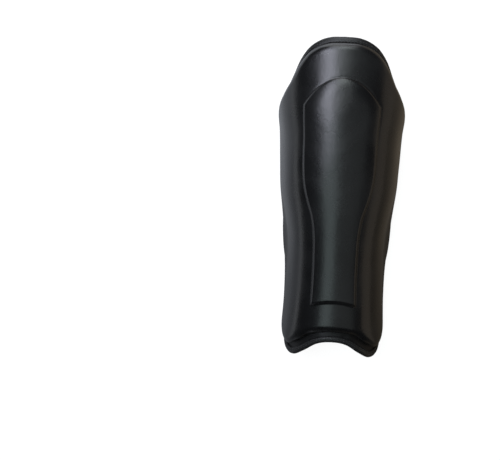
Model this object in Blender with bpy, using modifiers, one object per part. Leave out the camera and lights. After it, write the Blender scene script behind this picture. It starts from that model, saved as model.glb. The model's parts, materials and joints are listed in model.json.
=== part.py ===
"""A padded shin guard of black leather, lying on its back with its front upwards.

Metres, +Z up. X runs across the shin and +Y towards the knee. The origin is under the middle of the
guard, on the surface that it lies on. A place on the guard is told by two shares: "wrap" runs round
the shin, from 0 on the front ridge to 1 at the side edge, and "along" runs from 0 at the top of the
knee end to 1 at the lowest point of the ankle end.
"""

import math

import bmesh
import bpy
import numpy as np
from mathutils import Matrix

# Driving sizes
LENGTH = 0.360  # from the knee end's top to the ankle end's lobes
CALF_HALF_WIDTH = 0.069  # half the width below the knee, at the level of the seam
DEPTH = 0.085  # from the side edges to the front ridge, at the level of the seam
WRAP_ANGLE = math.radians(112)  # how far each side turns round the leg
SQUARENESS = 0.02  # 0 makes the sections elliptical, and more makes them boxy
FLARE_START = 0.70  # the share of the wrap where the sides leave the ellipse for the side edge
FLARE_POWER = 2.2  # how sharply they do so

# The padding, measured from the level of the seam
FRONT_OUT = 0.012  # how far the pad stands out of the seam's level on the shin
SIDE_OUT = 0.004  # and on the wings
FRONT_IN = 0.006  # how far it swells towards the leg
SIDE_IN = 0.005
THIN_START = 0.25  # the shares of the wrap between which it thins
THIN_END = 0.80
RIM_THICKNESS = 0.0018  # at its seam
RIM_ROUNDING = 0.011  # how far from the seam its outer side is round
RIM_SWELLING = 0.022  # how far from the seam its inner side swells

# The raised shin panel
PANEL_RELIEF = 0.0030
PANEL_BEVEL = 0.0032
PANEL_CROWN_TOP = 0.117  # along, at the middle of its arched top
PANEL_CORNER_TOP = 0.204  # along, at its upper corners
PANEL_CROWN_BOTTOM = 0.814
PANEL_CORNER_BOTTOM = 0.830
PANEL_ARCH_POWER = 1.95  # 2 makes its arched ends parabolas, and less makes them more pointed

# The backing panel, its rim round the pad and the binding on it
RIM_WIDTH = 0.0062
LIP_MIDDLE = 0.0128  # the rim's width below the pad, at the instep
LIP_LOBE = 0.012  # and at the two lobes
BACKING_WALL = 0.003
BINDING_WIDTH = 0.0050
BINDING_WALL = 0.0009
BINDING_ROLL = 0.0008  # how far the fold stands off the panel's edge
CORNER_WRAP = 0.14  # the rounding of the four corners, as a share of the wrap
CORNER_LENGTH = 0.022  # and along the guard

# The straps
CALF_STRAP_WIDTH = 0.050
CALF_STRAP_ALONG = 0.440
ANKLE_STRAP_WIDTH = 0.040
ANKLE_STRAP_ALONG = 0.720
STRAP_WALL = 0.0020
STRAP_OVERLAP = 0.036  # the length on which a strap lies on its tab
STRAP_SEAT_TOP = 0.78  # wrap, at the end that is sewn to the wing
STRAP_SEAT_LOW = 0.88  # wrap, where the strap leaves the wing
STRAP_BEND = 0.016  # how far in from the wing it lies flat
STRAP_RAMP = 0.008  # the length on which a strap climbs onto its tab
STRAP_TURN = 0.25  # the share of its bend at which it turns towards the surface

# Clearances
PAD_GAP = 0.0004
BINDING_GAP = 0.0006
BINDING_GAP_INSIDE = 0.0007
STRAP_GAP = 0.0006
OVERLAP_GAP = 0.0003
MERGE_DISTANCE = 0.00005  # within which the two halves are joined on the ridge

# along, belly half width and side edge half width as shares of CALF_HALF_WIDTH, ridge as a share of DEPTH
SECTIONS = (
    (0.00, 1.020, 0.950, 0.950),
    (0.12, 1.005, 0.950, 0.980),
    (0.22, 0.985, 0.945, 1.000),
    (0.31, 0.918, 0.925, 1.000),
    (0.40, 0.895, 0.905, 0.995),
    (0.48, 0.862, 0.900, 0.980),
    (0.56, 0.780, 0.895, 0.955),
    (0.62, 0.731, 0.890, 0.935),
    (0.68, 0.714, 0.868, 0.912),
    (0.76, 0.717, 0.806, 0.885),
    (0.84, 0.735, 0.770, 0.868),
    (0.91, 0.768, 0.765, 0.865),
    (1.00, 0.825, 0.770, 0.880),
)
# wrap, along: the edge of the backing panel at the knee end
KNEE_EDGE = (
    (0.00, 0.000),
    (0.12, 0.004),
    (0.20, 0.016),
    (0.28, 0.038),
    (0.36, 0.075),
    (0.43, 0.118),
    (0.52, 0.161),
    (0.62, 0.198),
    (0.77, 0.250),
    (1.00, 0.325),
)
# wrap, along: its edge at the ankle end, arched over the instep between two lobes
ANKLE_EDGE = (
    (0.00, 0.947),
    (0.06, 0.948),
    (0.16, 0.956),
    (0.30, 0.982),
    (0.44, 1.000),
    (0.56, 0.991),
    (0.67, 0.970),
    (0.80, 0.937),
    (1.00, 0.874),
)
# along, wrap: the sides of the raised panel
PANEL_SIDE = (
    (0.204, 0.267),
    (0.296, 0.271),
    (0.366, 0.273),
    (0.436, 0.264),
    (0.504, 0.229),
    (0.559, 0.186),
    (0.606, 0.174),
    (0.676, 0.174),
    (0.830, 0.177),
)

# The grid: "across" is 0 on the ridge, PANEL_ACROSS on the panel's side and 1 at the pad's seam, and
# "down" is 0 at the pad's seam at the knee and 1 at the ankle. The rim lies beyond 1 and before 0.
PANEL_ACROSS = 0.30
PANEL_DOWN_TOP = 0.18
PANEL_DOWN_BOTTOM = 0.86
WING_ROW_TOP = 0.14  # where the rows through the panel's corners reach the wing, as shares of its length
WING_ROW_BOTTOM = 0.90
RIM_STEP = 0.06
PANEL_COLUMNS = 4
WING_COLUMNS = 8
KNEE_ROWS = 4
PANEL_ROWS = 13
ANKLE_ROWS = 2
RIM_COLUMNS = (0.6, 1.0)  # grid columns on the rim beside the leg, as shares of its width
RIM_STATIONS = (0.0014, 0.0045)  # distances in from the seam that get grid lines of their own
SEAM_STEPS = 120  # points on each side of the seam from which distances are measured
SLOPE_STEP = 0.0001  # the share by which a place is moved to find a slope
STRAP_COLUMNS = 7
STRAP_SEAT_ROWS = 4
STRAP_BEND_ROWS = 6

LEATHER = ("black_leather", (0.018, 0.018, 0.019, 1), 0.38)
LINING = ("black_lining", (0.022, 0.022, 0.024, 1), 0.80)
TAPE = ("black_binding_tape", (0.020, 0.020, 0.022, 1), 0.50)
ELASTIC = ("black_elastic", (0.020, 0.020, 0.021, 1), 0.85)
HOOK_AND_LOOP = ("black_hook_and_loop", (0.014, 0.014, 0.015, 1), 0.95)


def curve_through(rows, at, column=1):
    """A smooth curve through a table's rows: cubic pieces whose slopes are those of their neighbours."""
    table = np.array(rows)
    x, y = table[:, 0], table[:, column]
    slopes = np.gradient(y, x)
    i = np.clip(np.searchsorted(x, at) - 1, 0, len(x) - 2)
    step = x[i + 1] - x[i]
    q = np.clip((at - x[i]) / step, 0, 1)
    hold = y[i] * (1 + 2 * q) * (1 - q) ** 2 + y[i + 1] * q**2 * (3 - 2 * q)
    return hold + step * (slopes[i] * q * (1 - q) ** 2 - slopes[i + 1] * q**2 * (1 - q))


def ease(x):
    """0 to 1 with no slope at either end."""
    x = np.clip(x, 0, 1)
    return x * x * (3 - 2 * x)


def section_sine(angle):
    """The sine, swollen a little towards a square."""
    return (np.sin(angle) + SQUARENESS * np.sin(3 * angle)) / (1 - SQUARENESS)


def seam_surface(wrap, along, foot):
    """A point at the level of the seam. Each section is an ellipse whose ends lead to the side edge."""
    angle = wrap * WRAP_ANGLE
    belly = CALF_HALF_WIDTH * curve_through(SECTIONS, along, 1)
    edge = CALF_HALF_WIDTH * curve_through(SECTIONS, along, 2)
    ridge = DEPTH * curve_through(SECTIONS, along, 3)
    share = np.clip((wrap - FLARE_START) / (1 - FLARE_START), 0, None) ** FLARE_POWER
    x = belly * section_sine(angle) + (edge - belly * section_sine(WRAP_ANGLE)) * share
    z = foot + ridge * (np.cos(angle) - math.cos(WRAP_ANGLE)) / (1 - math.cos(WRAP_ANGLE))
    return np.stack([x, LENGTH * (0.5 - along), z], axis=-1)


def outward_normal(wrap, along):
    """The seam surface's unit normal, away from the leg."""
    round_leg = seam_surface(wrap + SLOPE_STEP, along, 0) - seam_surface(wrap - SLOPE_STEP, along, 0)
    down_leg = seam_surface(wrap, along + SLOPE_STEP, 0) - seam_surface(wrap, along - SLOPE_STEP, 0)
    normal = np.cross(down_leg, round_leg)
    return normal / np.linalg.norm(normal, axis=-1, keepdims=True)


def wing_length(along):
    """The length of a section from the ridge to the side edge, by the mean of its two half axes."""
    belly = CALF_HALF_WIDTH * curve_through(SECTIONS, along, 1)
    rise = DEPTH * curve_through(SECTIONS, along, 3) / (1 - math.cos(WRAP_ANGLE))
    return WRAP_ANGLE * (belly + rise) / 2


def flat_pattern(wrap, along):
    """The place in the cut pattern, laid flat: metres from the ridge and metres from the knee."""
    return np.stack([wrap * wing_length(along), along * LENGTH], axis=-1)


def corner(wrap, end):
    """How far a rounded corner draws the edge in, as a share of CORNER_LENGTH."""
    return 1 - np.sqrt(1 - np.clip((wrap - end + CORNER_WRAP) / CORNER_WRAP, 0, 1) ** 2)


def inset(edge, wrap, width):
    """The share of the length that moves an edge in by a width, measured square to the edge."""
    rise = curve_through(edge, wrap + SLOPE_STEP) - curve_through(edge, wrap - SLOPE_STEP)
    slope = rise / (2 * SLOPE_STEP)
    steepness = slope * LENGTH / wing_length(curve_through(edge, wrap))
    return width * np.sqrt(1 + steepness**2) / LENGTH


def pad_end(along):
    """The wrap at which the pad ends and the rim begins, beside the leg."""
    return 1 - RIM_WIDTH / wing_length(along)


def knee_edge(wrap):
    return curve_through(KNEE_EDGE, wrap) + corner(wrap, 1.0) * CORNER_LENGTH / LENGTH


def ankle_edge(wrap):
    return curve_through(ANKLE_EDGE, wrap) - corner(wrap, 1.0) * CORNER_LENGTH / LENGTH


def pad_knee_edge(wrap):
    end = pad_end(curve_through(KNEE_EDGE, wrap))
    rounding = corner(wrap, end) * CORNER_LENGTH / LENGTH
    return curve_through(KNEE_EDGE, wrap) + inset(KNEE_EDGE, wrap, RIM_WIDTH) + rounding


def pad_ankle_edge(wrap):
    """The lip is widest at the instep, narrower at the lobes, and as wide as the rim at the side."""
    end = pad_end(curve_through(ANKLE_EDGE, wrap))
    rounding = corner(wrap, end) * CORNER_LENGTH / LENGTH
    lobe_wrap = max(ANKLE_EDGE, key=lambda row: row[1])[0]
    to_lobe = LIP_MIDDLE + (LIP_LOBE - LIP_MIDDLE) * ease(wrap / lobe_wrap)
    lip = to_lobe + (RIM_WIDTH - LIP_LOBE) * ease((wrap - lobe_wrap) / (1 - lobe_wrap))
    return curve_through(ANKLE_EDGE, wrap) - inset(ANKLE_EDGE, wrap, lip) - rounding


def panel_row(wrap, crown, corner_along, corner_wrap, wing_share):
    """A row through two of the panel's corners: an arch between them, then on to the wing."""
    on_panel = crown + (corner_along - crown) * np.clip(wrap / corner_wrap, 0, 1) ** PANEL_ARCH_POWER
    top, bottom = pad_knee_edge(1.0), pad_ankle_edge(1.0)
    at_wing = top + (bottom - top) * wing_share
    return on_panel + (at_wing - corner_along) * ease((wrap - corner_wrap) / (1 - corner_wrap))


def grid_place(across, down):
    """(wrap, along) of a place in the grid, whose lines follow the outlines of the panel and the pad."""
    on_panel = (down - PANEL_DOWN_TOP) / (PANEL_DOWN_BOTTOM - PANEL_DOWN_TOP)
    beside = PANEL_CORNER_TOP + np.clip(on_panel, 0, 1) * (PANEL_CORNER_BOTTOM - PANEL_CORNER_TOP)
    side = curve_through(PANEL_SIDE, beside)
    end = pad_end(beside)
    wrap = side * np.minimum(across / PANEL_ACROSS, 1)
    wrap = wrap + (end - side) * np.clip((across - PANEL_ACROSS) / (1 - PANEL_ACROSS), 0, 1)
    wrap = wrap + (1 - end) * np.clip((across - 1) / RIM_STEP, 0, 1)
    rows = (
        (-RIM_STEP, knee_edge(wrap)),
        (0, pad_knee_edge(wrap)),
        (PANEL_DOWN_TOP, panel_row(wrap, PANEL_CROWN_TOP, PANEL_CORNER_TOP, PANEL_SIDE[0][1], WING_ROW_TOP)),
        (
            PANEL_DOWN_BOTTOM,
            panel_row(wrap, PANEL_CROWN_BOTTOM, PANEL_CORNER_BOTTOM, PANEL_SIDE[-1][1], WING_ROW_BOTTOM),
        ),
        (1, pad_ankle_edge(wrap)),
        (1 + RIM_STEP, ankle_edge(wrap)),
    )
    along = rows[0][1]
    for (start, _), (end_down, end_along), (_, start_along) in zip(rows, rows[1:], rows):
        along = along + (end_along - start_along) * np.clip((down - start) / (end_down - start), 0, 1)
    return wrap, along


def seam_distance(wrap, along):
    """How far a place lies inside the pad's seam in the flat pattern, and 0 outside it."""
    steps = np.linspace(0, 1, SEAM_STEPS)
    seam = [
        grid_place(steps, np.zeros_like(steps)),
        grid_place(np.ones_like(steps), steps),
        grid_place(steps, np.ones_like(steps)),
    ]
    seam = np.concatenate([flat_pattern(w, a) for w, a in seam])
    place = flat_pattern(wrap, along)
    return np.linalg.norm(place[..., None, :] - seam, axis=-1).min(axis=-1)


def inner_swelling(wrap, distance):
    """How far the pad swells towards the leg: nothing at the seam, and all of it farther in."""
    thin = ease((wrap - THIN_START) / (THIN_END - THIN_START))
    full = FRONT_IN + (SIDE_IN - FRONT_IN) * thin
    return full * ease(distance / RIM_SWELLING)


def padding(wrap, distance, across, down):
    """The pad's whole thickness: round at its seam, thinner on the wings, and raised on the panel."""
    thin = ease((wrap - THIN_START) / (THIN_END - THIN_START))
    full = FRONT_OUT + (SIDE_OUT - FRONT_OUT) * thin
    rounded = np.sqrt(1 - (1 - np.clip(distance / RIM_ROUNDING, 0, 1)) ** 2)
    side_bevel = PANEL_BEVEL / (2 * wing_length(PANEL_CORNER_TOP))
    end_bevel = PANEL_BEVEL / (2 * LENGTH)
    inside = np.minimum(
        (PANEL_ACROSS - across) / side_bevel,
        np.minimum(down - PANEL_DOWN_TOP, PANEL_DOWN_BOTTOM - down) / end_bevel,
    )
    relief = PANEL_RELIEF * ease((inside + 1) / 2)
    return RIM_THICKNESS + full * rounded + relief + inner_swelling(wrap, distance)


def across_stations(with_rim):
    """Grid columns from the ridge out: the panel, its bevel, the wing, the rounded seam and the rim."""
    bevel = PANEL_BEVEL / (2 * wing_length(PANEL_CORNER_TOP))
    panel = np.linspace(0, PANEL_ACROSS - bevel, PANEL_COLUMNS + 1)
    seam = 1 - np.array(RIM_STATIONS[::-1]) / wing_length(0.5)
    wing = np.linspace(PANEL_ACROSS + bevel, 1 - RIM_ROUNDING / wing_length(0.5), WING_COLUMNS)
    rim = 1 + RIM_STEP * np.array(RIM_COLUMNS)
    return np.concatenate([panel, wing, seam, [1], rim if with_rim else []])


def down_stations(with_rim):
    """Grid rows from the ankle up, so that the faces point away from the leg."""
    bevel = PANEL_BEVEL / (2 * LENGTH)
    near_seam = np.array(RIM_STATIONS) / LENGTH
    rounding = RIM_ROUNDING / LENGTH
    knee = np.linspace(rounding, PANEL_DOWN_TOP - bevel, KNEE_ROWS)
    panel = np.linspace(PANEL_DOWN_TOP + bevel, PANEL_DOWN_BOTTOM - bevel, PANEL_ROWS)
    ankle = np.linspace(PANEL_DOWN_BOTTOM + bevel, 1 - rounding, ANKLE_ROWS)
    rows = np.concatenate([[0], near_seam, knee, panel, ankle, 1 - near_seam[::-1], [1]])
    if with_rim:
        rows = np.concatenate([[-RIM_STEP], rows, [1 + RIM_STEP]])
    return rows[::-1]


def grid_points(across, down, level):
    """Points of a sheet whose height above the seam's level is level(wrap, distance from the seam)."""
    across, down = np.meshgrid(across, down)
    wrap, along = grid_place(across, down)
    inside = (across <= 1) & (down >= 0) & (down <= 1)
    distance = np.where(inside, seam_distance(wrap, along), 0)
    height = level(wrap, distance)
    points = seam_surface(wrap, along, 0) + outward_normal(wrap, along) * height[..., None]
    return points, padding(wrap, distance, across, down)


def backing_face(wrap, distance):
    """The height of the backing panel's outer face, a clearance under the pad."""
    return -inner_swelling(wrap, distance) - PAD_GAP


def fold_over_edge(panel):
    """The tape's inner face: for each point of the panel's rim, a fold from its outer to its inner face."""
    rows, columns = len(down_stations(True)), len(across_stations(True))
    points = np.empty(rows * columns * 3)
    normals = np.empty(rows * columns * 3)
    panel.data.vertices.foreach_get("co", points)
    panel.data.vertices.foreach_get("normal", normals)
    points = points.reshape(rows, columns, 3)
    normals = normals.reshape(rows, columns, 3)
    normals[:, 0, 0] = 0
    normals = normals / np.linalg.norm(normals, axis=-1, keepdims=True)

    row = np.concatenate([np.zeros(columns), np.arange(1, rows - 1), np.full(columns, rows - 1)]).astype(int)
    column = np.concatenate([np.arange(columns), np.full(rows - 2, columns - 1), np.arange(columns)[::-1]])
    inner = np.clip(row, 1, rows - 2), np.minimum(column, columns - 1 - len(RIM_COLUMNS))
    edge, normal = points[row, column], normals[row, column]
    inward, inner_normal = points[inner] - edge, normals[inner]
    tangent = np.gradient(edge, axis=0)
    tangent[[0, -1], 1:] = 0
    beyond = np.cross(tangent, normal)
    beyond = beyond / np.linalg.norm(beyond, axis=-1, keepdims=True)
    share = -BINDING_WIDTH / (inward * beyond).sum(axis=-1, keepdims=True)

    hem = edge + inward * share
    hem_normal = normal + (inner_normal - normal) * share
    under = BACKING_WALL + BINDING_GAP_INSIDE
    return np.stack(
        [
            hem + hem_normal * BINDING_GAP,
            edge + normal * BINDING_GAP + beyond * BINDING_GAP,
            edge - normal * BACKING_WALL / 2 + beyond * (BINDING_GAP + BINDING_ROLL),
            edge - normal * under + beyond * BINDING_GAP,
            hem - hem_normal * under,
        ],
        axis=1,
    )


def settle(guard):
    """Moves the meshes up or down until the lowest of them touches the surface. Returns the height moved."""
    graph = bpy.context.evaluated_depsgraph_get()
    lowest = min(v.co.z for made in guard for v in made.evaluated_get(graph).data.vertices)
    for made in guard:
        made.data.transform(Matrix.Translation((0, 0, -lowest)))
    return -lowest


def strap_points(middle, width, overlap_level, foot):
    """The lower face of a strap from the right wing: down the wing, round a bend, and flat to its end."""
    along = middle + np.linspace(-0.5, 0.5, STRAP_COLUMNS) * width / LENGTH
    rows = []
    for wrap in np.linspace(STRAP_SEAT_TOP, STRAP_SEAT_LOW, STRAP_SEAT_ROWS):
        place = np.full_like(along, wrap)
        level = backing_face(place, seam_distance(place, along)) - BACKING_WALL - STRAP_GAP
        rows.append(seam_surface(place, along, foot) + outward_normal(place, along) * level[..., None])
    start = rows[-1]
    flat = start - np.array([STRAP_BEND, 0, 0])
    flat[:, 2] = 0
    turn = start + (flat - start) * [STRAP_TURN, 1, 1]
    for q in np.linspace(0, 1, STRAP_BEND_ROWS)[1:]:
        rows.append(start * (1 - q) ** 2 + turn * 2 * q * (1 - q) + flat * q**2)
    half = STRAP_OVERLAP / 2
    for x, z in ((half + STRAP_RAMP, 0), (half, overlap_level), (-half, overlap_level)):
        row = flat.copy()
        row[:, 0], row[:, 2] = x, z
        rows.append(row)
    return np.stack(rows)


def material(name, colour, roughness):
    """A Principled material, made once for each name."""
    found = bpy.data.materials.get(name)
    if found:
        return found
    made = bpy.data.materials.new(name)
    made.use_nodes = True
    shader = made.node_tree.nodes["Principled BSDF"]
    shader.inputs["Base Color"].default_value = colour
    shader.inputs["Roughness"].default_value = roughness
    shader.inputs["Metallic"].default_value = 0
    return made


def sheet(name, points, finish, collection):
    """An object whose mesh is a grid with its points moved to these, row by row."""
    rows, columns = points.shape[:2]
    grid = bmesh.new()
    bmesh.ops.create_grid(grid, x_segments=columns - 1, y_segments=rows - 1, size=1)
    for vertex, point in zip(grid.verts, points.reshape(-1, 3)):
        vertex.co = point
    mesh = bpy.data.meshes.new(name)
    grid.to_mesh(mesh)
    grid.free()
    mesh.materials.append(material(*finish))
    mesh.shade_smooth()
    made = bpy.data.objects.new(name, mesh)
    collection.objects.link(made)
    return made


def mirror(made):
    """The other half, across the plane of the ridge."""
    modifier = made.modifiers.new("other half", "MIRROR")
    modifier.use_axis = (True, False, False)
    modifier.merge_threshold = MERGE_DISTANCE


def thicken(made, thickness, offset, group=""):
    """A wall on one side of the sheet, scaled by a vertex group if one is named."""
    modifier = made.modifiers.new("wall", "SOLIDIFY")
    modifier.thickness = thickness
    modifier.offset = offset
    modifier.vertex_group = group


def front_pad(collection):
    """The moulded foam under its leather: a sheet at its inner face, thickened by the padding."""
    points, thickness = grid_points(
        across_stations(False), down_stations(False), lambda wrap, d: -inner_swelling(wrap, d)
    )
    made = sheet("front_pad", points, LEATHER, collection)
    group = made.vertex_groups.new(name="padding")
    thickest = thickness.max()
    for index, share in enumerate((thickness / thickest).ravel()):
        group.add([index], float(share), "REPLACE")
    mirror(made)
    thicken(made, thickest, 1, group.name)
    return made


def backing_panel(collection):
    """The thin panel behind the pad, wider than it all round."""
    points, _ = grid_points(across_stations(True), down_stations(True), backing_face)
    made = sheet("backing_panel", points, LINING, collection)
    mirror(made)
    thicken(made, BACKING_WALL, -1)
    return made


def edge_binding(collection, panel):
    """The tape folded over the backing panel's edge, once round the guard."""
    made = sheet("edge_binding", fold_over_edge(panel), TAPE, collection)
    mirror(made)
    thicken(made, BINDING_WALL, 1)
    return made


def strap(name, along, width, collection, foot):
    """An elastic strap from one wing and the tab from the other, which it lies on where they close."""
    level = STRAP_WALL + OVERLAP_GAP
    tab = sheet(name + "_tab", strap_points(along, width, 0, foot), HOOK_AND_LOOP, collection)
    thicken(tab, STRAP_WALL, -1)
    band = sheet(name, strap_points(along, width, level, foot) * [-1, 1, 1], ELASTIC, collection)
    band.data.flip_normals()
    thicken(band, STRAP_WALL, -1)


def main():
    for old in list(bpy.data.objects):
        bpy.data.objects.remove(old, do_unlink=True)
    collection = bpy.data.collections.new("shin_guard")
    bpy.context.scene.collection.children.link(collection)
    pad = front_pad(collection)
    panel = backing_panel(collection)
    foot = settle([edge_binding(collection, panel), panel, pad])
    strap("calf_strap", CALF_STRAP_ALONG, CALF_STRAP_WIDTH, collection, foot)
    strap("ankle_strap", ANKLE_STRAP_ALONG, ANKLE_STRAP_WIDTH, collection, foot)


main()
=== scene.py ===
"""Looks of a padded shin guard of black leather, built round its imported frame.

Row frame, in metres: the guard lies on its back, front upwards (+Z), knee end towards +Y. A place on it is
told by two shares, as in the frame's own shapes: "wrap" runs round the shin from 0 on the front ridge to 1 at
the side edge, and "along" runs from 0 at the knee end to 1 at the lowest point of the ankle end.
"""

from __future__ import annotations

import json
import logging
import math
from collections.abc import Sequence
from dataclasses import dataclass
from enum import Enum

import bpy
import numpy as np
from mathutils import Matrix, Vector
from numpy.typing import NDArray

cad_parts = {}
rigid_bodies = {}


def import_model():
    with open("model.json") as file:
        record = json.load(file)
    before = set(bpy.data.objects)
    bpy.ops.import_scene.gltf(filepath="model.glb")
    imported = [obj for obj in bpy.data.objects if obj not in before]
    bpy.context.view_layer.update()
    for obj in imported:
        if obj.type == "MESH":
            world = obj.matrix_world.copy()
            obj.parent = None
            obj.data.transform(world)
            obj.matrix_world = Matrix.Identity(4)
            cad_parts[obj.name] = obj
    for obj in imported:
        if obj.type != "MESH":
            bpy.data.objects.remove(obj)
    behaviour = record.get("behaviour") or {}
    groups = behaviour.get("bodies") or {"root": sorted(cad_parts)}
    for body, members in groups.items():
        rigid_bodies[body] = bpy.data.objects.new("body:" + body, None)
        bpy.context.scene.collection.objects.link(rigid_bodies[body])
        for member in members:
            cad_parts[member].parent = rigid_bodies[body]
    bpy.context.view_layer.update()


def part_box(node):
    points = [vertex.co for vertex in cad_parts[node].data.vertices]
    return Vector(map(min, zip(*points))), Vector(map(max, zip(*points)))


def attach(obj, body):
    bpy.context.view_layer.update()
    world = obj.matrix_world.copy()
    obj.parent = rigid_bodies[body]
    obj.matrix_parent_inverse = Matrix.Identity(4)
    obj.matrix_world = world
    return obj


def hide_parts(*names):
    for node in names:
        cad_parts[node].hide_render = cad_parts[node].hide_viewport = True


log = logging.getLogger("shin_guard")

Array = NDArray[np.float64]
Triple = tuple[float, float, float]
Colour = Triple
Socket = bpy.types.NodeSocket
Material = bpy.types.Material
Piece = bpy.types.Object
Source = bpy.types.NodeSocket | float | Colour

# the shortest and the longest wave of an uneven field, in wavelengths
WAVE_SIZES = (0.6, 1.5)
# the least length and the least squared length that are divided by
TINY, TINIER = 1e-12, 1e-18


def ease(x: Array) -> Array:
    """0 to 1 with no slope at either end: 3x^2 - 2x^3, held outside."""
    x = np.clip(x, 0, 1)
    return x * x * (3 - 2 * x)


def unit(vectors: Array) -> Array:
    """The same directions at length 1."""
    return vectors / np.maximum(np.linalg.norm(vectors, axis=-1, keepdims=True), TINY)


def curve_through(rows: Sequence[Sequence[float]], at: Array, column: int = 1) -> Array:
    """A smooth curve through a table's rows: cubic pieces whose slopes are those of their neighbours.

    Args:
        rows: The table, whose first column rises.
        at: Where to read the curve.
        column: The column read.

    Returns:
        The curve's values.
    """
    table = np.array(rows)
    x, y = table[:, 0], table[:, column]
    slopes = np.gradient(y, x)
    i = np.clip(np.searchsorted(x, at) - 1, 0, len(x) - 2)
    step = x[i + 1] - x[i]
    q = np.clip((at - x[i]) / step, 0, 1)
    hold = y[i] * (1 + 2 * q) * (1 - q) ** 2 + y[i + 1] * q**2 * (3 - 2 * q)
    return hold + step * (slopes[i] * q * (1 - q) ** 2 - slopes[i + 1] * q**2 * (1 - q))


def distances(line: Array) -> Array:
    """How far each point of a polyline lies along it."""
    return np.concatenate([[0], np.cumsum(np.linalg.norm(np.diff(line, axis=0), axis=1))])


def ripple(u: Array, v: Array, seed: int, count: int = 5) -> Array:
    """A smooth uneven field from -1 to 1: the mean of sine waves of random directions, lengths and phases.

    Args:
        u: First coordinate, in wavelengths.
        v: Second coordinate, in wavelengths.
        seed: Fixes the waves.
        count: The number of waves.

    Returns:
        The field.
    """
    rng = np.random.default_rng(seed)
    total = np.zeros(np.broadcast(u, v).shape)
    for _ in range(count):
        turn, phase, size = rng.uniform(0, math.tau), rng.uniform(0, math.tau), rng.uniform(*WAVE_SIZES)
        total += np.sin(math.tau * size * (u * math.cos(turn) + v * math.sin(turn)) + phase)
    return total / count


def nearest(points: Array, line: Array) -> Array:
    """The distance from each point to the nearest stretch of a polyline, in the plane.

    Args:
        points: (..., 2) points.
        line: (n, 2) corners of the polyline.

    Returns:
        The distances.
    """
    flat = points.reshape(-1, 2)
    best = np.full(len(flat), np.inf)
    for start, end in zip(line[:-1], line[1:], strict=True):
        side = end - start
        share = np.clip((flat - start) @ side / max(side @ side, TINIER), 0, 1)
        best = np.minimum(best, np.linalg.norm(flat - start - share[:, None] * side, axis=1))
    return best.reshape(points.shape[:-1])


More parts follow.
